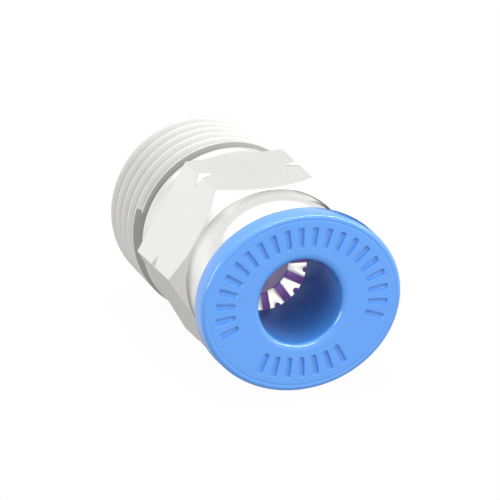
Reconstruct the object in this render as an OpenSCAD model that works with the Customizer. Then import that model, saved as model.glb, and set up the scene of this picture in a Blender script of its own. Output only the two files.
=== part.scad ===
// Straight male connector with a push-in tube port.
// Tube port faces -Y, tapered thread points +Y, hex flats face +Z and -Z.
// The origin is on the axis, in the plane where the hex meets the thread neck.
// Every "depth" below is measured along +Y from the front face of the release button.

/* [Tube port] */
// Radius of the bore through the release button
port_r = 2.50; // [2.45:0.01:2.55]
// Radius of the seat that holds the tube end
seat_r = 2.45; // [2.42:0.01:2.50]
// Depth of the tube stop
stop_depth = 12.80; // [12.40:0.05:13.40]
// Radius of the flow bore through the thread
flow_r = 1.60; // [1.40:0.05:1.80]

/* [Release button] */
// Half width of the oval flange, along X
flange_half_x = 5.97; // [5.70:0.01:6.20]
// Half height of the oval flange, along Z
flange_half_z = 5.26; // [5.00:0.01:5.50]
// Thickness of the oval flange
flange_t = 1.25; // [1.10:0.05:1.30]
// Outer radius of the button sleeve
sleeve_r = 2.90; // [2.88:0.01:2.90]
// Depth of the nose that opens the teeth
nose_depth = 6.02; // [6.00:0.01:6.06]

/* [Body] */
// Wrench size across flats
hex_flats = 10.0; // [9.9:0.1:10.1]
// Length of the hex
hex_len = 5.0; // [4.90:0.05:5.10]
// Outer radius of the round collar
collar_r = 4.95; // [4.90:0.01:4.97]
// Radius of the rounding at the collar mouth
mouth_round = 1.50; // [1.30:0.05:1.60]
// Depth of the collar mouth
mouth_depth = 2.50; // [2.45:0.05:2.55]
// Radius of the socket for the cartridge parts
socket_r = 4.00; // [3.98:0.01:4.05]
// Radius of the neck between the hex and the thread
neck_r = 4.95; // [4.85:0.01:5.00]
// Radius at the bottom of the groove around the hex
groove_r = 5.49; // [5.40:0.01:5.60]

/* [Thread] */
// Thread pitch, 27 turns to the inch
pitch = 0.9407; // [0.9407]
// Crest radius at the small end
crest_small = 4.993; // [4.95:0.001:5.03]
// Height of the thread ridge
ridge_h = 0.7526; // [0.60:0.01:0.76]
// Width of the flat on top of the ridge
crest_flat = 0.10; // [0.06:0.01:0.14]
// Depth where the neck ends and the thread starts
thread_start = 12.30; // [12.20:0.05:12.40]
// Depth of the end of the thread
thread_end = 18.20; // [18.00:0.05:18.60]
// Angle round the axis where the ridge starts
thread_angle = 197.7; // [0:0.1:360]

/* [Grip ring] */
// Number of teeth
teeth = 12; // [12]
// Angle of the first tooth from straight up
tooth_first = 10.8; // [0:0.1:29]
// Radius of the circle through the tooth tips at rest
tip_r = 1.585; // [1.55:0.005:1.62]
// Radius of the line each tooth bends about
root_r = 3.30; // [3.28:0.01:3.30]
// Depth of the line each tooth bends about
root_depth = 6.03; // [6.02:0.01:6.04]
// Lean of a tooth from square to the axis at rest
tooth_lean = 21; // [20:0.5:22]
// Sheet thickness
sheet_t = 0.15; // [0.12:0.01:0.16]
// Width of a tooth at its tip
tip_w = 0.38; // [0.30:0.01:0.45]
// Width gained for each millimetre of radius
tooth_flare = 0.503; // [0.40:0.001:0.52]

/* [Hidden] */
$fn = 96;
past = 1;              // how far cuts run past a face, and solids into each other

// Body
hex_rear = 11.12;
hex_front = hex_rear - hex_len;
corner_r = hex_flats / sqrt(3);
chamfer_foot = hex_front - (corner_r - collar_r);
groove_depth = hex_rear - hex_len / 2;

// Cartridge parts
cartridge_r = socket_r - 0.01;
ring_play = 0.03;      // gap along the axis on each side of the grip ring
ring_front = root_depth - sheet_t;

// Thread
taper = 1 / 32;        // radius lost for each millimetre of depth
ridge_w = pitch - 0.05;
ridge_sink = 0.08;     // how far the foot of the ridge is sunk into the core
end_chamfer = 0.45;    // 45 degree chamfer at the thread end
ridge_step = 10;       // degrees between ridge sections
ridge_first = thread_start + ridge_w / 2;
ridge_last = thread_end + crest_flat / 2 - 0.03;
ridge_n = floor((ridge_last - ridge_first) / pitch * 360 / ridge_step);

// Puts a shape drawn with its axis on Z, at a height equal to its depth, into the part's frame.
// The shape's -Y side ends up on top, at +Z.
module along_axis() {
    translate([0, -hex_rear, 0]) rotate([-90, 0, 0]) children();
}

// A cylinder between two depths.
module rod(radius, from, to) {
    translate([0, 0, from]) cylinder(r = radius, h = to - from);
}

// ---- Thread ridge ----

function crest_r(depth) = crest_small + (thread_end - depth) * taper;
function core_r(depth) = crest_r(depth) - ridge_h;
function end_r(depth) = crest_small - end_chamfer + (thread_end - depth);
function point_at(angle, radius, depth) = [radius * cos(angle), radius * sin(angle), depth];

// The four corners of the ridge where its centre is at the given depth:
// rear foot, rear crest, front crest, front foot.
function ridge_section(angle, centre) =
    let (foot_r = core_r(centre) - ridge_sink,
         rear_foot = min(centre + ridge_w / 2, thread_end),
         rear_crest = min(centre + crest_flat / 2, thread_end),
         front_crest = centre - crest_flat / 2)
    [point_at(angle, foot_r, rear_foot),
     point_at(angle, min(crest_r(centre), end_r(rear_crest)), rear_crest),
     point_at(angle, min(crest_r(centre), end_r(front_crest)), front_crest),
     point_at(angle, foot_r, centre - ridge_w / 2)];

// Helical ridge: sections joined by triangles, with a flat cap at each end.
module thread_ridge() {
    points = [for (i = [0 : ridge_n]) each
              ridge_section(thread_angle + i * ridge_step,
                            ridge_first + pitch * i * ridge_step / 360)];
    faces = concat(
        [[0, 1, 2, 3]],
        [[for (k = [3 : -1 : 0]) ridge_n * 4 + k]],
        [for (i = [0 : ridge_n - 1]) for (k = [0 : 3])
            let (here = i * 4, ahead = here + 4, next = (k + 1) % 4)
            each [[here + k, ahead + k, ahead + next],
                  [here + k, ahead + next, here + next]]]);
    polyhedron(points = points, faces = faces, convexity = 8);
}

// ---- Body ----

// Collar with its rounded mouth.
module collar() {
    round_len = 1.2;   // length of the rounding along the axis
    steps = 8;
    centre_r = collar_r - mouth_round;
    rotate_extrude()
        polygon(concat(
            [[0, mouth_depth]],
            [for (i = [0 : steps])
                let (to_end = round_len * cos(i * 90 / steps))
                [centre_r + sqrt(pow(mouth_round, 2) - pow(to_end, 2)),
                 mouth_depth + round_len - to_end]],
            [[collar_r, hex_front + past], [0, hex_front + past]]));
}

// Hex with its 45 degree front chamfer and the shallow groove through its corners.
module hex_section() {
    rise = 1.2;        // takes the turned outline clear of the hex corners
    clear_r = collar_r + rise;
    groove_half = clear_r - groove_r;
    intersection() {
        rod(corner_r, chamfer_foot, hex_rear, $fn = 6);
        rotate_extrude()
            polygon([[0, chamfer_foot], [collar_r, chamfer_foot],
                     [clear_r, chamfer_foot + rise],
                     [clear_r, groove_depth - groove_half],
                     [groove_r, groove_depth],
                     [clear_r, groove_depth + groove_half],
                     [clear_r, hex_rear], [0, hex_rear]]);
    }
}

// Neck and the tapered core under the thread.
module thread_core() {
    joint_r = neck_r - 0.3;    // part sunk into the hex
    chamfer = 0.1;
    rotate_extrude()
        polygon([[0, hex_rear - past], [joint_r, hex_rear - past], [joint_r, hex_rear],
                 [neck_r, hex_rear], [neck_r, thread_start - chamfer],
                 [neck_r - chamfer, thread_start],
                 [core_r(thread_start), thread_start],
                 [core_r(thread_end), thread_end], [0, thread_end]]);
}

// Socket, tube seat and flow bore, with a 45 degree flare at the thread end.
module body_bores() {
    socket_end = 10.2;
    seat_from = 10;    // inside the socket, so that the two cuts overlap
    flare = 0.3;
    rod(socket_r, mouth_depth - past, socket_end);
    rod(seat_r, seat_from, stop_depth);
    rod(flow_r, stop_depth - past, thread_end + past);
    translate([0, 0, thread_end - 2 * flare])
        cylinder(r1 = flow_r - flare, r2 = flow_r + 2 * flare, h = 3 * flare);
}

module threaded_body() {
    color([0.80, 0.80, 0.79]) along_axis()
        union() {
            difference() {
                union() {
                    collar();
                    hex_section();
                    thread_core();
                }
                body_bores();
            }
            thread_ridge();
        }
}

// ---- Cartridge parts ----

// Fixed bush that guides the button and holds the grip ring in the body.
module guide_sleeve() {
    gap = 0.05;
    relief_gap = 0.28;     // wider bore that leaves room for the bead on the button
    relief_from = 3.35;
    color([0.72, 0.73, 0.74]) along_axis()
        difference() {
            rod(cartridge_r, mouth_depth, ring_front - ring_play);
            rod(sleeve_r + gap, mouth_depth - past, mouth_depth + 2 * past);
            rod(sleeve_r + relief_gap, relief_from, relief_from + 4 * past);
        }
}

// Cup behind the teeth that gives them room to open and backs the seal.
module support_ring() {
    rear = 8.30;
    cup_floor = 8.05;
    cup_gap = 0.06;
    cup_from = 5;          // both cuts start in front of the material they remove
    bore_from = 7;
    color([0.36, 0.27, 0.47]) along_axis()
        difference() {
            rod(cartridge_r, root_depth + ring_play, rear);
            rod(root_r + cup_gap, cup_from, cup_floor);
            rod(seat_r, bore_from, bore_from + 3 * past);
        }
}

// Lip seal, open towards the pressure side.
module tube_seal() {
    // Columns: radius, depth
    outline = [[2.62, 8.32], [cartridge_r, 8.32], [cartridge_r, 10.15],
               [3.58, 10.15], [3.25, 9.20], [2.98, 9.20], [2.52, 10.10],
               [2.22, 9.95], [2.22, 9.75], [2.50, 9.10], [2.50, 8.44]];
    color([0.42, 0.40, 0.46]) along_axis()
        rotate_extrude() polygon(outline);
}

// ---- Release button ----

// Oval flange, chamfered round its front rim. The chamfer cone starts in front of depth 0.
module oval_flange() {
    chamfer = 0.20;
    extra = 0.1;
    scale([1, flange_half_z / flange_half_x, 1]) {
        translate([0, 0, -extra])
            cylinder(r1 = flange_half_x - chamfer - extra, r2 = flange_half_x,
                     h = chamfer + extra, $fn = 180);
        rod(flange_half_x, chamfer, flange_t, $fn = 180);
    }
}

// Sleeve with a bead round it and a tapered nose.
module button_sleeve() {
    inner_r = 2;           // inside the port bore, which is cut later
    front = flange_t - 0.5;
    bead_r = sleeve_r + 0.18;
    bead_front = 3.40;
    bead_rear = 3.55;
    bead_foot = 3.95;
    nose_len = 0.61;
    nose_wall = 0.04;
    rotate_extrude()
        polygon([[inner_r, front], [sleeve_r, front], [sleeve_r, bead_front],
                 [bead_r, bead_front], [bead_r, bead_rear], [sleeve_r, bead_foot],
                 [sleeve_r, nose_depth - nose_len], [port_r + nose_wall, nose_depth],
                 [inner_r, nose_depth]]);
}

module release_button() {
    trim = 10;             // half side of the block that trims the front face flat
    lead_in = 0.3;         // 45 degree chamfer at the port mouth
    reach = 0.5;           // length of its cone on each side of the front face
    color([0.33, 0.60, 0.93]) along_axis()
        difference() {
            union() {
                oval_flange();
                button_sleeve();
            }
            translate([-trim, -trim, -past]) cube([2 * trim, 2 * trim, past]);
            rod(port_r, -past, nose_depth + past);
            translate([0, 0, -reach])
                cylinder(r1 = port_r + lead_in + reach, r2 = port_r + lead_in - reach,
                         h = 2 * reach);
        }
}

// ---- Grip ring ----

// Flat band of the grip ring, which turns between the guide and the support ring.
module grip_ring() {
    outer_gap = 0.06;
    tooth_gap = 0.04;
    color([0.90, 0.89, 0.80]) along_axis()
        difference() {
            rod(socket_r - outer_gap, ring_front, root_depth);
            rod(root_r + tooth_gap, ring_front - past, root_depth + past);
        }
}

// One springy tooth, leaning inwards, with its small hole near the nose.
// Index 0 is the first tooth.
module grip_tooth(index) {
    length = (root_r - sheet_t * sin(tooth_lean) - tip_r) / cos(tooth_lean);
    root_w = tip_w + tooth_flare * (root_r - tip_r);
    hole_r = 0.17;
    hole_at_r = 2.59;      // distance from the axis to the hole centre, on the rear face
    color([0.96, 0.95, 0.84]) along_axis()
        rotate([0, 0, tooth_first - 90 + 360 / teeth * index])
            translate([root_r, 0, root_depth]) rotate([0, tooth_lean, 0])
                difference() {
                    translate([0, 0, -sheet_t]) linear_extrude(sheet_t)
                        polygon([[0, -root_w / 2], [0, root_w / 2],
                                 [-length, tip_w / 2], [-length, -tip_w / 2]]);
                    translate([-(root_r - hole_at_r) / cos(tooth_lean), 0, -past])
                        cylinder(r = hole_r, h = 2 * past, $fn = 24);
                }
}

threaded_body();
guide_sleeve();
support_ring();
tube_seal();
release_button();
grip_ring();
grip_tooth(0);  // grip_tooth_01
grip_tooth(1);  // grip_tooth_02
grip_tooth(2);  // grip_tooth_03
grip_tooth(3);  // grip_tooth_04
grip_tooth(4);  // grip_tooth_05
grip_tooth(5);  // grip_tooth_06
grip_tooth(6);  // grip_tooth_07
grip_tooth(7);  // grip_tooth_08
grip_tooth(8);  // grip_tooth_09
grip_tooth(9);  // grip_tooth_10
grip_tooth(10);  // grip_tooth_11
grip_tooth(11);  // grip_tooth_12
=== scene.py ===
"""Push-in tube fitting: a nickel-plated body with a hex and a taper thread, and a blue
release button with an oval flange.

The tube axis is Y. The button faces -Y and the thread ends towards +Y; Z is up.
Shapes are worked out in millimetres: radius r and angle a (degrees clockwise from
straight up, seen from the button's side) round the Y axis, and depth d behind the
button's front face.
"""
import math

import bpy
import numpy as np
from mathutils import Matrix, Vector


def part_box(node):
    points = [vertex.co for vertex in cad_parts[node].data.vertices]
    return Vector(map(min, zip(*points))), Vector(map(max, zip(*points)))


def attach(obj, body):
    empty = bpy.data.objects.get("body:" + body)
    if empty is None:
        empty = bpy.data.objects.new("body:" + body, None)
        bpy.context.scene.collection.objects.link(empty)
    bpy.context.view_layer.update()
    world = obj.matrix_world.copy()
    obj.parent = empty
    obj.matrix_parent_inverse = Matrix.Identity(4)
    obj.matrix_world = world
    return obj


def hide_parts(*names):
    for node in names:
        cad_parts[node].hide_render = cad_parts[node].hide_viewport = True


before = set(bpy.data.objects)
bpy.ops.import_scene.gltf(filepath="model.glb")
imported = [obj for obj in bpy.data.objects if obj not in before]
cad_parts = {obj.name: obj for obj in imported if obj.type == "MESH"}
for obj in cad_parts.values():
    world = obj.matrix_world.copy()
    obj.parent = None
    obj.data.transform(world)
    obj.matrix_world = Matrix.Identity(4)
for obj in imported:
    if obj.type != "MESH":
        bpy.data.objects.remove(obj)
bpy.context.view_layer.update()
MM = 0.001


# ---------------------------------------------------------------- driving dimensions
def extent(cad_piece, axis):
    """Lowest and highest coordinate of a CAD piece, in millimetres."""
    return [getattr(corner, axis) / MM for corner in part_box(cad_piece)]


FRONT = extent("release_button", "y")[0]


def depths(cad_piece):
    """Front and rear depth of a CAD piece."""
    return [y - FRONT for y in extent(cad_piece, "y")]


FLANGE_HALF_X = extent("release_button", "x")[1]
FLANGE_HALF_Z = extent("release_button", "z")[1]
NOSE = depths("release_button")[1]              # rear end of the button
MOUTH, END = depths("threaded_body")            # collar mouth and thread end
RING_R = extent("grip_ring", "x")[1]
RING_FRONT, RING_REAR = depths("grip_ring")
GUIDE_REAR = depths("guide_sleeve")[1]
CUP_FRONT, CUP_REAR = depths("support_ring")
SEAL_FRONT = depths("tube_seal")[0]

# outside of the body
CORNER_R = extent("threaded_body", "x")[1]      # hex corner
FLAT_R = CORNER_R * math.cos(math.radians(30))
HEX_LENGTH = 5.0
HEX_REAR = -FRONT
HEX_FRONT = HEX_REAR - HEX_LENGTH
COLLAR_R = 4.95
NECK_R = COLLAR_R
FOOT = HEX_FRONT - (CORNER_R - COLLAR_R)        # where the 45 degree hex chamfer starts
CROWN_R = 1.5                                   # arc between collar mouth and side
CROWN_DEPTH = 1.2                               # of the arc's centre behind the mouth
CROWN_REACH = 0.9                               # from the arc's centre out to the mouth face
GROOVE_R = 5.49                                 # root of the V groove round the hex
GROOVE_DEPTH = HEX_REAR - HEX_LENGTH / 2
GROOVE_ROOT = 0.012                             # rounding of that root

# thread
PITCH = 25.4 / 27
THREAD_START = 12.30
STEP_ANGLE = -72.3                              # where the first ridge starts
CREST_END_R = 4.993                             # crest radius at the thread end
TAPER = 32                                      # depth per unit of radius
RIDGE_HEIGHT = 0.7526
RIDGE_WIDTH = PITCH - 0.05
CREST_HALF = 0.05                               # half width of the crest
FIRST_RIDGE = THREAD_START + RIDGE_WIDTH / 2

# bore
SOCKET_R, SEAT_R, FLOW_R = 4.00, 2.45, 1.60
SOCKET_FIT = SOCKET_R - 0.01                    # outside of the parts held in the socket
SOCKET_END = 10.2
TUBE_STOP = 12.80

# grip teeth, cut from sheet
TOOTH_COUNT = 12
FIRST_TOOTH = 10.8                              # angle
TOOTH_ROOT_R, TOOTH_ROOT_DEPTH = 3.30, 6.03
TOOTH_LEAN = math.radians(21)
TOOTH_LENGTH, TOOTH_SHEET, TOOTH_BEVEL = 1.7792, 0.15, 0.022
TOOTH_TIP_WIDTH = 0.38
TOOTH_FLARE = 0.503                             # width gained per unit of radius
TOOTH_FLARE_R = 1.585                           # radius the flare is counted from
TOOTH_HOLE_R = 0.17
TOOTH_HOLE_PLACE, TOOTH_HOLE_SHIFT = 2.53, 0.06

# release button
PORT_R = 2.50
PORT_LIP, PORT_LIP_DEPTH = 0.42, 0.32           # width and depth of the rounded bore lip
FLANGE_THICK = 1.25
FRONT_ROUND, REAR_ROUND = 0.25, 0.05
SLEEVE_R, SLEEVE_ROOT_R = 2.90, 3.05
MARK_PITCH = 0.80
MARK_LINE = 1.35                                # inset of the line the pitch is measured on
MARK_OUTER, MARK_INNER = 0.78, 2.00             # insets of the mark ends
MARK_DEPTH, MARK_CORNER = 0.15, 0.18
MARK_FLOOR, MARK_EDGE = 0.105, 0.178            # half widths at the bottom and at the face
MARK_SPREAD = 112                               # upper marks reach this angle on each side


# ---------------------------------------------------------------- shape helpers
def to_row(r, a_deg, d):
    """Radius, angle and depth to points in metres."""
    r, a, d = np.broadcast_arrays(r, np.radians(a_deg), d)
    return np.stack([r * np.sin(a), d + FRONT, r * np.cos(a)], -1) * MM


def smin(a, b, k):
    """Smallest of a and b, blended over k."""
    h = np.clip(0.5 + 0.5 * (b - a) / k, 0, 1)
    return b * (1 - h) + a * h - k * h * (1 - h)


def smax(a, b, k):
    return -smin(-a, -b, k)


def smooth(x, low, high):
    t = np.clip((x - low) / (high - low), 0, 1)
    return t * t * (3 - 2 * t)


def rounded(corners, closed=True, steps=4):
    """Corners (x, y, fillet length) to a list of points with each corner rounded."""
    points, count = [], len(corners)
    for i, (x, y, fillet) in enumerate(corners):
        corner = np.array([x, y], float)
        if fillet <= 0 or (not closed and i in (0, count - 1)):
            points.append(corner)
            continue
        ends = []
        for neighbour in (corners[i - 1], corners[(i + 1) % count]):
            side = np.array(neighbour[:2], float) - corner
            length = np.linalg.norm(side)
            ends.append(corner + side / length * min(fillet, 0.49 * length))
        for s in np.linspace(0, 1, steps + 1):
            points.append((1 - s) ** 2 * ends[0] + 2 * s * (1 - s) * corner + s * s * ends[1])
    return points


def strip(ring_a, ring_b):
    """Quads between two rings of vertex numbers."""
    return np.stack([ring_a, np.roll(ring_a, -1), np.roll(ring_b, -1), ring_b], 1)


def skin(rows, mats=None, closed=True):
    """Rows of points, joined round and along: vertices, faces and face materials."""
    size, count = len(rows[0]), len(rows)
    ring = np.arange(size)
    faces, face_mats = [], []
    for i in range(count if closed else count - 1):
        faces.append(strip(i * size + ring, (i + 1) % count * size + ring))
        face_mats.append(np.full(size, mats[i] if mats else 0))
    return np.concatenate(rows), np.concatenate(faces), np.concatenate(face_mats)


def piece(name, verts, faces, materials, body, replaces, face_mats=None, sharp=38):
    """Edges over `sharp` degrees stay sharp."""
    mesh = bpy.data.meshes.new(name)
    mesh.from_pydata([tuple(v) for v in verts], [], [tuple(f) for f in faces])
    for material in materials:
        mesh.materials.append(material)
    if face_mats is not None:
        mesh.polygons.foreach_set("material_index", np.asarray(face_mats, np.int32))
    mesh.polygons.foreach_set("use_smooth", [True] * len(mesh.polygons))
    mesh.update()
    mesh.set_sharp_from_angle(angle=math.radians(sharp))
    mesh.validate()
    made = bpy.data.objects.new(name, mesh)
    bpy.context.scene.collection.objects.link(made)
    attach(made, body)
    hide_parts(replaces)


# ---------------------------------------------------------------- shader helpers
def feed(tree, node, inputs):
    """Sets each input to a value, or links it when given another node's output."""
    for key, value in inputs.items():
        if isinstance(value, bpy.types.NodeSocket):
            tree.links.new(value, node.inputs[key])
        else:
            node.inputs[key].default_value = value


def add(tree, kind, inputs=None, **settings):
    node = tree.nodes.new("ShaderNode" + kind)
    for key, value in settings.items():
        setattr(node, key, value)
    feed(tree, node, inputs or {})
    return node


def new_material(name):
    material = bpy.data.materials.new(name)
    material.use_nodes = True
    tree = material.node_tree
    return material, tree, tree.nodes["Principled BSDF"]


def millimetres(tree, scale=(1, 1, 1)):
    """Object position in millimetres, stretched by scale."""
    place = add(tree, "TexCoord").outputs["Object"]
    inputs = {"Scale": tuple(s * 1000 for s in scale), "Vector": place}
    return add(tree, "Mapping", inputs).outputs["Vector"]


def noise(tree, vector, scale, detail=3.0, rough=0.5):
    inputs = {"Scale": scale, "Detail": detail, "Roughness": rough, "Vector": vector}
    return add(tree, "TexNoise", inputs).outputs["Fac"]


def ramp(tree, factor, stops):
    """Colour ramp from stops of (position, rgb)."""
    node = add(tree, "ValToRGB", {"Fac": factor})
    elements = node.color_ramp.elements
    for element, (position, colour) in ((elements[0], stops[0]), (elements[1], stops[-1])):
        element.position = position
        element.color = (*colour, 1)
    for position, colour in stops[1:-1]:
        elements.new(position).color = (*colour, 1)
    return node.outputs["Color"]


def remap(tree, value, source=(0, 1), target=(0, 1), kind="LINEAR"):
    inputs = {"From Min": source[0], "From Max": source[1],
              "To Min": target[0], "To Max": target[1], "Value": value}
    return add(tree, "MapRange", inputs, interpolation_type=kind).outputs["Result"]


def calculate(tree, operation, a, b):
    return add(tree, "Math", {0: a, 1: b}, operation=operation).outputs[0]


def mix(tree, factor, a, b, blend="MIX"):
    inputs = {"Factor": factor, "A": a, "B": b}
    return add(tree, "Mix", inputs, data_type="RGBA", blend_type=blend).outputs["Result"]


def bump(tree, bsdf, height, distance_mm, strength=0.3):
    inputs = {"Strength": strength, "Distance": distance_mm * MM, "Height": height}
    feed(tree, bsdf, {"Normal": add(tree, "Bump", inputs).outputs["Normal"]})


def shaded(tree, colour, reach, corner, span):
    """Painted shade: colour multiplied towards `corner` where surfaces within `reach` mm close
    in.
    """
    occlusion = add(tree, "AmbientOcclusion", {"Distance": reach * MM}, samples=12)
    openness = remap(tree, occlusion.outputs["AO"], source=span)
    tint = mix(tree, openness, (*corner, 1), (1, 1, 1, 1))
    return mix(tree, 1.0, colour, tint, "MULTIPLY")


# ---------------------------------------------------------------- materials
TURNED = (0.12, 11, 0.12)       # noise stretch for rings round the axis
DRAWN = (7, 0.16, 7)            # noise stretch for lines along the bar


def collar_shade(tree, colour, foot):
    """Painted shade: darkens towards the collar's foot and at grazing view. foot: y start, y
    end, shade.
    """
    place = add(tree, "SeparateXYZ", {0: millimetres(tree)})
    fall = remap(tree, place.outputs["Y"], foot[:2], (1.0, foot[2]), "SMOOTHSTEP")
    colour = mix(tree, 1.0, colour, fall, "MULTIPLY")
    # painted shade where the surface turns away from the view
    facing = add(tree, "LayerWeight").outputs["Facing"]
    rim = remap(tree, facing, (0.82, 0.97), (1.0, 0.10), "SMOOTHSTEP")
    return mix(tree, 1.0, colour, rim, "MULTIPLY")


def nickel(name, tone, rough, corner, marks=TURNED, reach=0.6, span=(0.10, 0.75),
           edge_highlight=0.45, foot=None):
    """Nickel plate with tool marks, a painted highlight on its sharp edges and painted shade
    in its corners.
    """
    material, tree, bsdf = new_material(name)
    cloud = noise(tree, millimetres(tree), scale=0.55, detail=4.0, rough=0.55)
    streak = noise(tree, millimetres(tree, marks), scale=1.0, rough=0.6)
    blend = calculate(tree, "ADD", calculate(tree, "MULTIPLY", cloud, 0.55),
                      calculate(tree, "MULTIPLY", streak, 0.45))
    drift = 0.012
    light, dark = tone * (1 + drift), tone * (1 - drift)
    colour = ramp(tree, blend, [(0.36, (dark, dark * 0.998, dark * 0.985)),
                                (0.62, (light, light, light * 0.994))])
    # painted highlight: sharp edges are mixed towards a pale colour
    pointiness = add(tree, "NewGeometry").outputs["Pointiness"]
    edge = remap(tree, pointiness, source=(0.57, 0.66))
    edge_lit = mix(tree, calculate(tree, "MULTIPLY", edge, edge_highlight), colour, (0.95, 0.948, 0.94, 1))
    # painted shade: darker in corners and crevices within `reach` mm
    lit_and_shaded = shaded(tree, edge_lit, reach, (corner,) * 3, span)
    if foot:
        lit_and_shaded = collar_shade(tree, lit_and_shaded, foot)
        feed(tree, bsdf, {"Specular Tint": lit_and_shaded})
    feed(tree, bsdf, {"Base Color": lit_and_shaded, "Metallic": 1.0,
                      "Roughness": remap(tree, streak, target=(rough - 0.05, rough + 0.05))})
    bump(tree, bsdf, streak, distance_mm=0.002, strength=0.35)
    return material


def plastic(name, base, deep, rough, grain=7.0, grain_mm=0.004, coat=0.0, shade=None,
            glow=0.0, gloss=0.5):
    """Moulded plastic: slight colour drift from deep to base, and a fine moulding grain."""
    material, tree, bsdf = new_material(name)
    cloud = noise(tree, millimetres(tree), scale=0.45)
    fine = noise(tree, millimetres(tree), scale=grain, detail=5.0, rough=0.6)
    colour = ramp(tree, cloud, [(0.35, deep), (0.65, base)])
    if shade:                   # painted shade: the colour gets darker and richer deep down the bore
        colour = shaded(tree, colour, **shade)
    feed(tree, bsdf, {"Base Color": colour,
                      "Roughness": remap(tree, fine, target=(rough * 0.8, rough * 1.2)),
                      "IOR": 1.48, "Specular IOR Level": gloss,
                      "Coat Weight": coat, "Coat Roughness": 0.15})
    if glow:                    # stands for light that finds its way down the narrow bore
        feed(tree, bsdf, {"Emission Color": colour, "Emission Strength": glow})
    bump(tree, bsdf, fine, grain_mm)
    return material


def spring_steel(name):
    """Pale steel, with a glow that stands for light finding its way down the bore."""
    material, tree, bsdf = new_material(name)
    fine = noise(tree, millimetres(tree), scale=12.0, rough=0.6)
    cloud = noise(tree, millimetres(tree), scale=1.3)
    feed(tree, bsdf, {
        "Base Color": ramp(tree, cloud, [(0.3, (0.95, 0.93, 0.76)), (0.7, (1.0, 0.99, 0.90))]),
        "Metallic": 0.80,
        "Emission Color": (1.0, 0.97, 0.84, 1),
        "Emission Strength": 0.22,
        "Roughness": remap(tree, fine, target=(0.36, 0.50))})
    bump(tree, bsdf, fine, distance_mm=0.003)
    return material


# the collar carries painted shade towards its foot and at grazing view
NICKEL_COLLAR = nickel("nickel_collar", tone=0.90, rough=0.22, corner=0.62, reach=0.9,
                       span=(0.45, 0.97), foot=(FRONT + 4.3, FRONT + 5.35, 0.74))
NICKEL_HEX = nickel("nickel_hex", tone=0.85, rough=0.30, corner=0.5, marks=DRAWN, reach=0.4)
NICKEL_THREAD = nickel("nickel_thread", tone=0.84, rough=0.36, corner=0.45, reach=0.9)
# darker copies of the nickel: painted shade in the gap between the neck and the first ridge
NICKEL_RELIEF_SHADED = nickel("nickel_relief_shaded", tone=0.44, rough=0.45, corner=0.60, reach=0.7, edge_highlight=0)
NICKEL_VALLEY_SHADED = nickel("nickel_valley_shaded", tone=0.25, rough=0.45, corner=0.50, reach=0.9, edge_highlight=0)
NICKEL_BORE = nickel("nickel_bore", tone=0.76, rough=0.42, corner=0.6, edge_highlight=0)
GUIDE = nickel("guide_plate", tone=0.72, rough=0.33, corner=0.45)
BLUE = plastic("blue_acetal", base=(0.072, 0.284, 0.770), deep=(0.068, 0.276, 0.756),
               rough=0.16, grain_mm=0.001, coat=0.35, gloss=1.0)
# darker copy of the blue for the bore: painted shade, richer towards its depths
BLUE_BORE_SHADED = plastic("blue_acetal_bore_shaded", base=(0.068, 0.262, 0.650), deep=(0.065, 0.255, 0.640),
                    rough=0.42, gloss=0.40,
                    shade=dict(reach=6.0, corner=(0.26, 0.60, 0.78), span=(0.0, 0.95)))
VIOLET = plastic("violet_cup", base=(0.36, 0.20, 0.56), deep=(0.32, 0.18, 0.51),
                 rough=0.5, grain=5.0, glow=0.13)
RUBBER = plastic("seal_rubber", base=(0.44, 0.38, 0.54), deep=(0.38, 0.33, 0.48),
                 rough=0.62, grain=11.0, grain_mm=0.008, glow=0.26)
STEEL = spring_steel("spring_steel")


# ---------------------------------------------------------------- threaded body
BODY_MATERIALS = [NICKEL_COLLAR, NICKEL_HEX, NICKEL_THREAD, NICKEL_RELIEF_SHADED, NICKEL_BORE,
                  NICKEL_VALLEY_SHADED]
COLLAR, HEX, THREAD, RELIEF, BORE, VALLEY = range(6)


def hex_radius(a_deg):
    """Hex section with a hair of rounding on its corners; flats at top and bottom."""
    from_flat = (a_deg + 30) % 60 - 30
    near = FLAT_R / np.cos(np.radians(from_flat))
    following = FLAT_R / np.cos(np.radians(60 - np.abs(from_flat)))
    return smin(near, following, 0.05)


def ridge_radius(turn, d):
    """Thread surface at `turn` degrees past the step and depth d."""
    crest = CREST_END_R + (END - d) / TAPER
    root = crest - RIDGE_HEIGHT
    along = d - FIRST_RIDGE - PITCH * turn / 360
    ridge = np.maximum(np.round(along / PITCH), 0)
    off = np.abs(along - ridge * PITCH)
    slope = (RIDGE_HEIGHT + 0.08) / (RIDGE_WIDTH / 2 - CREST_HALF)
    flank = crest - (off - CREST_HALF) * slope
    height = smax(smin(crest, flank, 0.035), root, 0.06)
    # the first ridge starts slightly lower and rises over half a degree
    start = np.clip(0.93 + 0.07 * turn / 0.5, 0, 1)
    height = np.where((ridge == 0) & (turn < 0.5), root + (height - root) * start, height)
    end_chamfer = CREST_END_R - 0.45 + (END - d)
    return smin(height, end_chamfer, 0.03)


def body_columns():
    """Column angles past the step, finer at the hex corners and at the step."""
    turn = set(np.round(np.arange(0, 360, 1.2), 4))
    for k in range(6):
        corner = (90 - STEP_ANGLE + 60 * k) % 360
        turn = {x for x in turn if abs((x - corner + 180) % 360 - 180) > 1.1}
        turn |= {round((corner + offset) % 360, 4)
                 for offset in (-0.95, -0.6, -0.4, -0.2, 0, 0.2, 0.4, 0.6, 0.95)}
    turn = {x for x in turn if 0.7 < x < 359.3}
    turn |= {0.0, 0.15, 0.35, 0.6, 359.4, 359.65, 359.85}
    return np.array(sorted(turn))


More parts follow.
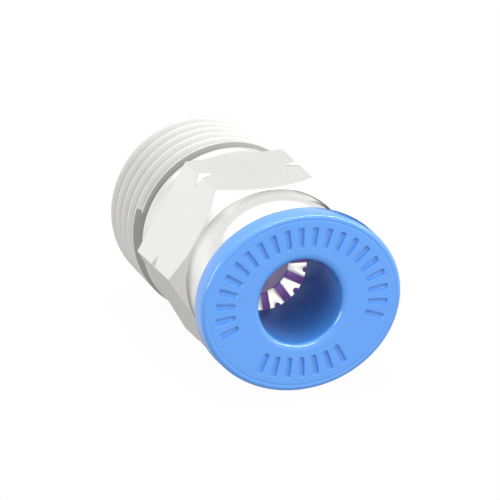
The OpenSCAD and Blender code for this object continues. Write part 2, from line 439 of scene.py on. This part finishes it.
def collar_rows():
    """(r, d) of the collar's mouth edge, crown and side."""
    rows = rounded([(SOCKET_R, MOUTH + 0.3, 0), (SOCKET_R, MOUTH, 0.06),
                    (SOCKET_R + 0.3, MOUTH, 0)], closed=False, steps=2)[1:-1]
    centre = COLLAR_R - CROWN_R
    rows.append((centre + CROWN_REACH - 0.05, MOUTH))
    for degrees in (53.6, 51, 47, 43, 39, 34, 29, 24, 19, 14, 9, 4, 0):
        angle = math.radians(degrees)
        rows.append((centre + CROWN_R * math.cos(angle),
                     MOUTH + CROWN_DEPTH - CROWN_R * math.sin(angle)))
    return rows + [(COLLAR_R, d) for d in (4.0, 4.4, 4.8, 5.1, FOOT - 0.06, FOOT - 0.02)]


def hex_rows(hex_r):
    """(r, d) of the hex: front chamfer, flats, V groove round the corners, rear face."""
    def chamfer(d):
        return smin(hex_r, COLLAR_R + (d - FOOT), 0.045)

    def groove(d):
        vee = np.sqrt((d - GROOVE_DEPTH) ** 2 + GROOVE_ROOT ** 2) - GROOVE_ROOT
        return smin(hex_r, GROOVE_R + vee, 0.03)

    def flats(low, high, shares):
        return [(hex_r, low + (high - low) * share) for share in shares]

    # where the chamfer meets the hex in each column; row gaps shrink with the room there
    crease = FOOT + hex_r - COLLAR_R
    crease_ease = np.minimum(1, (crease - FOOT) / 0.10)
    stations = [FOOT + (crease - 0.05 * crease_ease - FOOT) * share
                for share in (0.06, 0.30, 0.55, 0.80, 1.0)]
    stations += [crease + offset * crease_ease for offset in (-0.025, 0, 0.025, 0.05)]
    rows = [(chamfer(d), d) for d in stations]

    half = np.maximum(hex_r - GROOVE_R, 0.02)           # half width of the groove
    groove_ease = np.minimum(1, half / 0.06)
    shares = (0.12, 0.35, 0.65, 0.88, 1.0)
    rows += flats(crease + 0.05 * crease_ease,
                  GROOVE_DEPTH - half - 0.03 * groove_ease, shares)
    for side in (-1, -0.85, -0.6, -0.3, -0.1, 0, 0.1, 0.3, 0.6, 0.85, 1):
        d = GROOVE_DEPTH + half * side
        if side < -0.8:
            d = d - GROOVE_ROOT * groove_ease * (1 + side)
        rows.append((groove(d), d))
    rows += flats(GROOVE_DEPTH + half + 0.03 * groove_ease, HEX_REAR - 0.06, (0, *shares))

    edge = np.minimum(0.05, 0.42 * (hex_r - NECK_R))    # rounding of the rear edge
    for degrees in (0, 22, 45, 68, 90):
        angle = math.radians(degrees)
        rows.append((hex_r - edge * (1 - math.cos(angle)),
                     HEX_REAR - edge + edge * math.sin(angle)))
    return rows + [(hex_r - edge + (NECK_R + edge - hex_r + edge) * share, HEX_REAR)
                   for share in (0.3, 0.7, 1.0)]


def neck_rows():
    """(r, d) of the neck, with a raised band just before the thread."""
    band = NECK_R + 0.11
    corners = [(NECK_R + 0.04, HEX_REAR - 0.001, 0), (NECK_R, HEX_REAR, 0.02),
               (NECK_R, THREAD_START - 0.55, 0.12), (band, THREAD_START - 0.25, 0.08),
               (band, THREAD_START - 0.06, 0.05), (NECK_R + 0.02, THREAD_START, 0.03),
               (NECK_R - 0.2, THREAD_START, 0)]
    return rounded(corners, closed=False, steps=3)[1:]


def add_thread(turn, verts, faces, mats):
    """Adds the thread on a grid that follows the helix; returns its first and last rings."""
    half = [0.0, 0.025, 0.045, 0.06, 0.09, 0.14, 0.20, 0.26, 0.32, 0.365, 0.395, 0.42, 0.445]
    offsets = sorted({-x for x in half} | set(half) | {PITCH / 2})
    per_ridge, columns = len(offsets), len(turn)
    turns = int(math.ceil((END - FIRST_RIDGE) / PITCH)) + 1
    numbers = {}

    def point(i, j):
        """Vertex number of grid line i in column j; lines past either end collapse there."""
        ridge, offset = divmod(i, per_ridge)
        ridge -= 2
        if j == columns:        # after a full turn each ridge joins the next
            ridge, j = ridge + 1, 0
        d = FIRST_RIDGE + PITCH * turn[j] / 360 + offsets[offset] + ridge * PITCH
        key = (ridge, offset, j)
        if d <= THREAD_START + 0.004:
            key, d = ("start", j), THREAD_START
        elif d >= END - 0.004:
            key, d = ("end", j), END
        if key not in numbers:
            numbers[key] = len(verts)
            r = float(ridge_radius(turn[j], d))
            verts.append(to_row(r, turn[j] + STEP_ANGLE, d))
        return numbers[key]

    valley_end = per_ridge * 2
    for i in range(per_ridge * (turns + 3)):
        # the front grid lines take the darker copies: painted shade before the first ridge
        mat = VALLEY if i < valley_end else RELIEF if i < valley_end + 9 else THREAD
        for j in range(columns):
            quad = [point(i, j), point(i, j + 1), point(i + 1, j + 1), point(i + 1, j)]
            corners = [quad[x] for x in range(4) if quad[x] != quad[x - 1]]
            if len(set(corners)) == len(corners) >= 3:
                faces.append(tuple(corners))
                mats.append(mat)
    return [[numbers[(end, j)] for j in range(columns)] for end in ("start", "end")]


def threaded_body():
    turn = body_columns()
    angles = turn + STEP_ANGLE
    columns = len(turn)
    rows, row_mats = [], []
    for mat, section in ((COLLAR, collar_rows()), (HEX, hex_rows(hex_radius(angles))),
                         (THREAD, neck_rows())):
        rows += [to_row(r, angles, d) for r, d in section]
        row_mats += [mat] * len(section)
    verts, faces, mats = map(list, skin(rows, row_mats, closed=False))
    neck_ring = np.arange(columns) + (len(rows) - 1) * columns

    def join(ring_a, ring_b, mat):
        faces.extend(strip(ring_a, ring_b))
        mats.extend([mat] * columns)

    start_ring, last_ring = add_thread(turn, verts, faces, mats)
    # the join from the neck to the thread takes the darker relief copy: painted shade
    join(neck_ring, start_ring, RELIEF)
    # end face, then forwards along the bore to the mouth
    inside = rounded([(3.0, END, 0), (FLOW_R + 0.3, END, 0.05), (FLOW_R, END - 0.3, 0.06),
                      (FLOW_R, TUBE_STOP, 0.05), (SEAT_R, TUBE_STOP, 0.06),
                      (SEAT_R, SOCKET_END, 0.05), (SOCKET_R, SOCKET_END, 0.06),
                      (SOCKET_R, MOUTH + 0.3, 0)], closed=False, steps=3)
    end_face_rows = 4
    for i, (r, d) in enumerate(inside):
        ring = np.arange(columns) + len(verts)
        verts.extend(to_row(r, angles, d))
        join(last_ring, ring, THREAD if i < end_face_rows else BORE)
        last_ring = ring
    join(last_ring, np.arange(columns), BORE)
    return verts, faces, mats


body_verts, body_faces, body_mats = threaded_body()
piece("fitting_body", body_verts, body_faces, BODY_MATERIALS, "housing", "threaded_body",
      body_mats, sharp=30)


# ---------------------------------------------------------------- rings in the socket
def turned_ring(name, profile, material, body, replaces, steps=4, sharp=38):
    """Ring from a closed profile of (r, d, fillet), outside first from front to rear."""
    angles = np.arange(240) * 360 / 240
    rows = [to_row(r, angles, d) for r, d in rounded(profile, steps=steps)]
    verts, faces, _ = skin(rows)
    piece(name, verts, faces, [material], body, replaces, sharp=sharp)


turned_ring("guide_bush", [
    (SOCKET_FIT, MOUTH, 0.12), (SOCKET_FIT, GUIDE_REAR, 0.06), (3.18, GUIDE_REAR, 0.04),
    (3.18, 3.35, 0.03), (2.95, 3.35, 0.03), (2.95, MOUTH, 0.12),
], GUIDE, "housing", "guide_sleeve")

turned_ring("support_cup", [
    (SOCKET_FIT, CUP_FRONT, 0.05), (SOCKET_FIT, CUP_REAR, 0.08), (SEAT_R, CUP_REAR, 0.04),
    (SEAT_R, CUP_REAR - 0.25, 0.10), (3.36, CUP_REAR - 0.25, 0.12), (3.36, CUP_FRONT, 0.06),
], VIOLET, "housing", "support_ring")

turned_ring("lip_seal", [
    (SOCKET_FIT, SEAL_FRONT, 0.10), (SOCKET_FIT, 10.15, 0.05), (3.58, 10.15, 0.08),
    (3.25, 9.20, 0.18), (2.98, 9.20, 0.18), (2.52, 10.10, 0.10), (2.22, 9.95, 0.10),
    (2.22, 9.75, 0.12), (2.50, 9.10, 0.25), (2.50, 8.44, 0.10), (2.62, SEAL_FRONT, 0.08),
], RUBBER, "housing", "tube_seal", steps=5, sharp=60)

turned_ring("grip_band", [
    (RING_R, RING_FRONT, 0.04), (RING_R, RING_REAR, 0.04),
    (3.34, RING_REAR, 0.04), (3.34, RING_FRONT, 0.04),
], STEEL, "grip", "grip_ring")


# ---------------------------------------------------------------- grip teeth
def tooth_levels():
    """Loops (points, z) round the tooth section. x runs along the sheet from the root
    (inwards negative), y across it and z out of it."""
    root_width = TOOTH_TIP_WIDTH + TOOTH_FLARE * (TOOTH_ROOT_R - TOOTH_FLARE_R)
    root, tip = root_width / 2, TOOTH_TIP_WIDTH / 2
    corners = rounded([(0, -root, 0.05), (-TOOTH_LENGTH, -tip, 0.07),
                       (-TOOTH_LENGTH, tip, 0.07), (0, root, 0.05)], steps=5)
    outline = []
    for i, p in enumerate(corners):
        q = corners[(i + 1) % len(corners)]
        steps = max(1, int(np.linalg.norm(q - p) / 0.09))
        outline += [p + (q - p) * s / steps for s in range(steps)]
    outline = np.array(outline)

    hole_x = -(TOOTH_ROOT_R - TOOTH_HOLE_SHIFT - TOOTH_HOLE_PLACE) / math.cos(TOOTH_LEAN)
    centre = np.array([hole_x, 0.0])
    angle = np.arctan2(outline[:, 1], outline[:, 0] - hole_x)
    ray = np.stack([np.cos(angle), np.sin(angle)], 1)
    bevel, back = TOOTH_BEVEL, -TOOTH_SHEET
    hole = centre + TOOTH_HOLE_R * ray
    hole_rim = centre + (TOOTH_HOLE_R + bevel) * ray
    to_centre = centre - outline
    inset = outline + to_centre / np.linalg.norm(to_centre, axis=1)[:, None] * bevel * 1.15
    middle = hole_rim + (inset - hole_rim) * 0.5
    shoulder = inset + (outline - inset) * 0.7
    hole_shoulder = hole + (hole_rim - hole) * 0.3
    return [(hole_rim, 0), (middle, 0), (inset, 0), (shoulder, -bevel * 0.3),
            (outline, -bevel), (outline, back + bevel), (shoulder, back + bevel * 0.3),
            (inset, back), (middle, back), (hole_rim, back),
            (hole_shoulder, back + bevel * 0.3), (hole, back + bevel), (hole, -bevel),
            (hole_shoulder, -bevel * 0.3)]


def tooth(levels, a_deg):
    """The tooth leaned over and set at its angle round the axis."""
    angle = math.radians(a_deg)
    cos_lean, sin_lean = math.cos(TOOTH_LEAN), math.sin(TOOTH_LEAN)
    rows = []
    for points, z in levels:
        x, y = points.T
        r = TOOTH_ROOT_R + x * cos_lean + z * sin_lean
        d = TOOTH_ROOT_DEPTH - x * sin_lean + z * cos_lean
        rows.append(np.stack([r * math.sin(angle) + y * math.cos(angle), d + FRONT,
                              r * math.cos(angle) - y * math.sin(angle)], 1) * MM)
    return skin(rows)[:2]


def outward(verts, faces):
    """Turns the faces of a closed mesh so that they point out."""
    volume = 0.0
    for face in faces:
        p = verts[face]
        for i in range(1, len(p) - 1):
            volume += np.dot(p[0], np.cross(p[i], p[i + 1]))
    return faces if volume > 0 else [tuple(reversed(face)) for face in faces]


TOOTH_LEVELS = tooth_levels()
for k in range(TOOTH_COUNT):
    tooth_verts, tooth_faces = tooth(TOOTH_LEVELS, FIRST_TOOTH + 360 // TOOTH_COUNT * k)
    tooth_faces = outward(tooth_verts - tooth_verts.mean(0), tooth_faces)
    label = f"tooth_{k + 1:02d}"
    piece(f"{label}_finger", tooth_verts, tooth_faces, [STEEL], label, f"grip_{label}")


# ---------------------------------------------------------------- release button
def oval(t, inset):
    """x and z of the flange outline at parameter t (radians from up), moved in by inset."""
    x, z = FLANGE_HALF_X * np.sin(t), FLANGE_HALF_Z * np.cos(t)
    normal_x, normal_z = np.sin(t) / FLANGE_HALF_X, np.cos(t) / FLANGE_HALF_Z
    length = np.sqrt(normal_x * normal_x + normal_z * normal_z)
    return x - inset * normal_x / length, z - inset * normal_z / length


def button_columns():
    """Oval parameter of each column, and its distance from the nearest mark."""
    t = np.linspace(0, 2 * math.pi, 7201)
    x, z = oval(t, MARK_LINE)
    arc = np.concatenate([[0], np.cumsum(np.hypot(np.diff(x), np.diff(z)))])
    perimeter = arc[-1]
    polar = np.degrees(np.unwrap(np.arctan2(x, z)))
    marks = []
    for i in range(-15, 16):            # over the top and down both sides
        place = i * MARK_PITCH % perimeter
        if abs(np.interp(place, arc, polar) - (360 if i < 0 else 0)) <= MARK_SPREAD:
            marks.append(place)
    for i in range(-3, 4):              # at the bottom
        marks.append((0.5 * perimeter + i * MARK_PITCH) % perimeter)

    def gap(places):
        off = (places[:, None] - np.array(marks) + perimeter / 2) % perimeter - perimeter / 2
        return np.abs(off).min(1)

    columns = {round((mark + side * offset) % perimeter, 5) for mark in marks
               for side in (1, -1)
               for offset in (0.0, 0.06, 0.10, 0.115, 0.13, 0.15, 0.17, 0.19)}
    plain = np.arange(0, perimeter, 0.12)
    columns |= {round(float(place), 5) for place in plain[gap(plain) > 0.22]}
    columns = np.array(sorted(columns))
    columns = columns[np.concatenate([[True], np.diff(columns) > 0.01])]
    return np.interp(columns, arc, t), gap(columns)


def release_button():
    t, off_mark = button_columns()
    inner_x, inner_z = oval(t, MARK_INNER)
    angles = np.arctan2(inner_x, inner_z)
    angles = np.radians(np.degrees(angles))
    rows, mats = [], []

    def row(outline, d, mat=0):
        x, z = outline
        rows.append(np.stack([x, np.broadcast_to(d, len(t)) + FRONT, z], 1) * MM)
        mats.append(mat)

    def circle(r):
        return r * np.sin(angles), r * np.cos(angles)

    def between(first, second, share):
        return [p + (q - p) * share for p, q in zip(first, second)]

    # front rim, side and rear of the flange
    for degrees in (90, 75, 60, 45, 30, 15, 0):
        w = math.radians(degrees)
        row(oval(t, FRONT_ROUND * (1 - math.cos(w))), FRONT_ROUND * (1 - math.sin(w)))
    side_end = FLANGE_THICK - REAR_ROUND
    for d in (0.5, 0.8, side_end):
        row(oval(t, 0), d)
    for degrees in (22, 45, 68, 90):
        w = math.radians(degrees)
        row(oval(t, REAR_ROUND * (1 - math.cos(w))), side_end + REAR_ROUND * math.sin(w))
    for share in (0, 0.33, 0.67, 1):
        row(between(oval(t, 0.3), circle(SLEEVE_ROOT_R), share), FLANGE_THICK)
    # sleeve with a raised band, tapered nose, then forwards along the bore
    sleeve = rounded([
        (SLEEVE_ROOT_R, FLANGE_THICK, 0), (SLEEVE_R, FLANGE_THICK, 0.12),
        (SLEEVE_R, 3.40, 0.02), (3.08, 3.40, 0.03), (3.08, 3.55, 0.06), (SLEEVE_R, 3.95, 0.08),
        (SLEEVE_R, NOSE - 0.61, 0.10), (PORT_R + 0.05, NOSE, 0.04), (PORT_R, NOSE, 0.02),
        (PORT_R, 4.0, 0.3), (PORT_R, 0.6, 0)], closed=False)
    # rows inside the bore take the darker copy of the blue: painted shade
    for r, d in sleeve[1:]:
        row(circle(r), d, 1 if r < PORT_R + 0.02 else 0)
    for degrees in (0, 11, 22, 33, 45, 56, 67, 79, 90):
        w = math.radians(degrees)
        row(circle(PORT_R + PORT_LIP * (1 - math.cos(w))), PORT_LIP_DEPTH * (1 - math.sin(w)))
    # face with the engraved marks
    for share in (0.35, 0.7):
        row(between(circle(PORT_R + PORT_LIP), (inner_x, inner_z), share), 0.0)
    middle, half = (MARK_OUTER + MARK_INNER) / 2, (MARK_INNER - MARK_OUTER) / 2
    for inset in (2.02, 2.00, 1.98, 1.96, 1.94, 1.925, 1.90, 1.80, 1.6, 1.4, 1.2, 1.0, 0.88,
                  0.855, 0.84, 0.82, 0.80, 0.78, 0.76, 0.70, 0.5):
        along = max(abs(inset - middle) - half + MARK_CORNER, 0.0)
        distance = (along ** 4 + off_mark ** 4) ** 0.25
        row(oval(t, inset), MARK_DEPTH * (1 - smooth(distance, MARK_FLOOR, MARK_EDGE)))
    # fine line inside the rim: inset and depth
    for inset, d in ((0.47, 0), (0.44, 0.002), (0.395, 0.013), (0.365, 0.018),
                     (0.335, 0.017), (0.30, 0.004), (0.28, 0)):
        row(oval(t, inset), d)
    return skin(rows, mats)


button_verts, button_faces, button_mats = release_button()
piece("release_button_skin", button_verts, button_faces, [BLUE, BLUE_BORE_SHADED], "button",
      "release_button", button_mats, sharp=35)


# ---------------------------------------------------------------- floor
def floor_material():
    """White to the camera with faint contact shade, grey to other rays, clear from below."""
    material = bpy.data.materials.new("pale_floor")
    material.use_nodes = True
    tree = material.node_tree
    tree.nodes.clear()
    occlusion = add(tree, "AmbientOcclusion", {"Distance": 0.004}, samples=8)
    shade = remap(tree, occlusion.outputs["AO"], target=(0.97, 1.0))
    white = add(tree, "Emission", {"Strength": shade})
    grey = add(tree, "Emission", {"Color": (0.62, 0.615, 0.60, 1)})
    top = add(tree, "MixShader", {0: add(tree, "LightPath").outputs["Is Camera Ray"],
                                  1: grey.outputs[0], 2: white.outputs[0]})
    both = add(tree, "MixShader", {0: add(tree, "NewGeometry").outputs["Backfacing"],
                                   1: top.outputs[0],
                                   2: add(tree, "BsdfTransparent").outputs[0]})
    add(tree, "OutputMaterial", {"Surface": both.outputs[0]})
    return material


FLOOR_HALF = 0.6                # metres
FLOOR_GAP = 0.00002
lowest = min(button_verts[:, 2].min(), -5.26 * MM)
floor_mesh = bpy.data.meshes.new("studio_floor")
floor_mesh.from_pydata([(x * FLOOR_HALF, y * FLOOR_HALF, 0)
                        for x, y in ((-1, -1), (1, -1), (1, 1), (-1, 1))], [], [(0, 1, 2, 3)])
floor = bpy.data.objects.new("studio_floor", floor_mesh)
floor.location = (0, 0, lowest - FLOOR_GAP)
bpy.context.scene.collection.objects.link(floor)
floor_mesh.materials.append(floor_material())
floor.visible_glossy = False


# ---------------------------------------------------------------- world
# brightness from straight down (0) to straight up (1)
SKY = [(0.0, (0.46, 0.455, 0.44)), (0.15, (0.54, 0.535, 0.52)), (0.33, (0.90, 0.895, 0.885)),
       (0.54, (1.06, 1.06, 1.06)), (0.66, (0.88, 0.88, 0.88)), (0.80, (0.86, 0.86, 0.86)),
       (0.90, (1.5, 1.5, 1.5)), (1.0, (1.6, 1.6, 1.6))]
# patches: direction, inner and outer angle of the soft edge, colour
PATCHES = [((-0.80, -0.50, -0.25), 12, 62, (0.69, 0.687, 0.675)),
           ((0.62, -0.70, 0.35), 10, 42, (1.15, 1.145, 1.13)),
           ((0.20, 0.85, -0.48), 10, 19, (0.50, 0.50, 0.492)),
           ((0.44, 0.87, -0.21), 13, 20, (0.01, 0.01, 0.01)),
           ((0.97, 0.0, 0.25), 18, 34, (1.5, 1.5, 1.5))]


def studio_world():
    """The patched sky lights the scene; the camera itself sees plain white."""
    world = bpy.data.worlds.new("studio")
    bpy.context.scene.world = world
    world.use_nodes = True
    tree = world.node_tree
    tree.nodes.clear()
    direction = add(tree, "TexCoord").outputs["Generated"]
    height = add(tree, "SeparateXYZ", {0: direction}).outputs["Z"]
    sky = ramp(tree, remap(tree, height, source=(-1, 1)), SKY)
    for centre, inner, outer, colour in PATCHES:
        near = add(tree, "VectorMath", {0: direction, 1: Vector(centre).normalized()},
                   operation="DOT_PRODUCT").outputs["Value"]
        span = (math.cos(math.radians(outer)), math.cos(math.radians(inner)))
        sky = mix(tree, remap(tree, near, source=span, kind="SMOOTHSTEP"), sky, (*colour, 1))
    lit = add(tree, "Background", {"Color": sky})
    seen = add(tree, "Background", {"Color": (1, 1, 1, 1)})
    both = add(tree, "MixShader", {0: add(tree, "LightPath").outputs["Is Camera Ray"],
                                   1: lit.outputs[0], 2: seen.outputs[0]})
    add(tree, "OutputWorld", {"Surface": both.outputs[0]})


studio_world()


# ---------------------------------------------------------------- lights
def softbox(name, place, target, size, radiance, group=None, receivers=()):
    """Rectangular light in metres; with a group it lights only the receivers."""
    data = bpy.data.lights.new(name, "AREA")
    data.shape = "RECTANGLE"
    data.size, data.size_y = size
    data.energy = radiance * math.pi * size[0] * size[1]
    light = bpy.data.objects.new(name, data)
    bpy.context.scene.collection.objects.link(light)
    light.location = place
    aim = Vector(target) - Vector(place)
    light.rotation_euler = aim.to_track_quat("-Z", "Y").to_euler()
    if group:
        collection = bpy.data.collections.new(group)
        for receiver in receivers:
            collection.objects.link(receiver)
        light.light_linking.receiver_collection = collection


meshes = [o for o in bpy.context.scene.objects if o.type == "MESH" and o != floor]
in_bore = [o for o in meshes if o.name.startswith("tooth_")
           or o.name in ("grip_band", "support_cup", "lip_seal")]
button = [o for o in meshes if o.name == "release_button_skin"]
not_button = [o for o in meshes if o not in button]

softbox("strip_softbox", place=(0.058, -0.114, 0.1285), target=(0, -0.010, 0),
        size=(0.16, 0.020), radiance=13.0, group="lit_by_strip", receivers=button)
softbox("side_strip_softbox", place=(0.130, -0.090, 0.088), target=(0, -0.010, 0),
        size=(0.020, 0.08), radiance=9.0, group="lit_by_side_strip", receivers=button)
softbox("plate_softbox", place=(0.045, -0.062, 0.16), target=(0, 0, 0),
        size=(0.06, 0.05), radiance=2.4, group="lit_by_plate_softbox", receivers=not_button)
softbox("left_softbox", place=(-0.16, -0.06, 0.06), target=(0, -0.008, 0),
        size=(0.08, 0.08), radiance=4.5, group="lit_by_left_softbox", receivers=button)
softbox("fill_softbox", place=(0.12, -0.12, 0.03), target=(0, -0.005, 0),
        size=(0.06, 0.06), radiance=0.6)
softbox("port_softbox", place=(-0.036, -0.20, 0.030), target=(0, -0.005, 0),
        size=(0.05, 0.05), radiance=12.0, group="seen_down_the_bore", receivers=in_bore)

# ---------------------------------------------------------------- camera and output
view = bpy.context.scene.view_settings
view.view_transform = "Standard"
view.look = "None"
view.exposure = 0.0

AZIMUTH, ELEVATION = math.radians(-20.18), math.radians(20.24)
AIM_LEFT, AIM_UP = 2.912, 2.971         # of the button's face centre, in the view
back = Vector((math.sin(AZIMUTH) * math.cos(ELEVATION),
               -math.cos(AZIMUTH) * math.cos(ELEVATION), math.sin(ELEVATION)))
right = Vector((math.cos(AZIMUTH), math.sin(AZIMUTH), 0))
up = back.cross(right)
aim_point = Vector((0, FRONT * MM, 0)) - AIM_LEFT * MM * right + AIM_UP * MM * up
camera_data = bpy.data.cameras.new("studio_camera")
camera_data.type = "ORTHO"
camera_data.ortho_scale = 0.02810
camera_data.clip_start = 0.001
camera_data.clip_end = 2.0
camera = bpy.data.objects.new("studio_camera", camera_data)
bpy.context.scene.collection.objects.link(camera)
camera.location = aim_point + back * 0.12
camera.rotation_mode = "QUATERNION"
camera.rotation_quaternion = (-back).to_track_quat("-Z", "Y")
bpy.context.scene.camera = camera
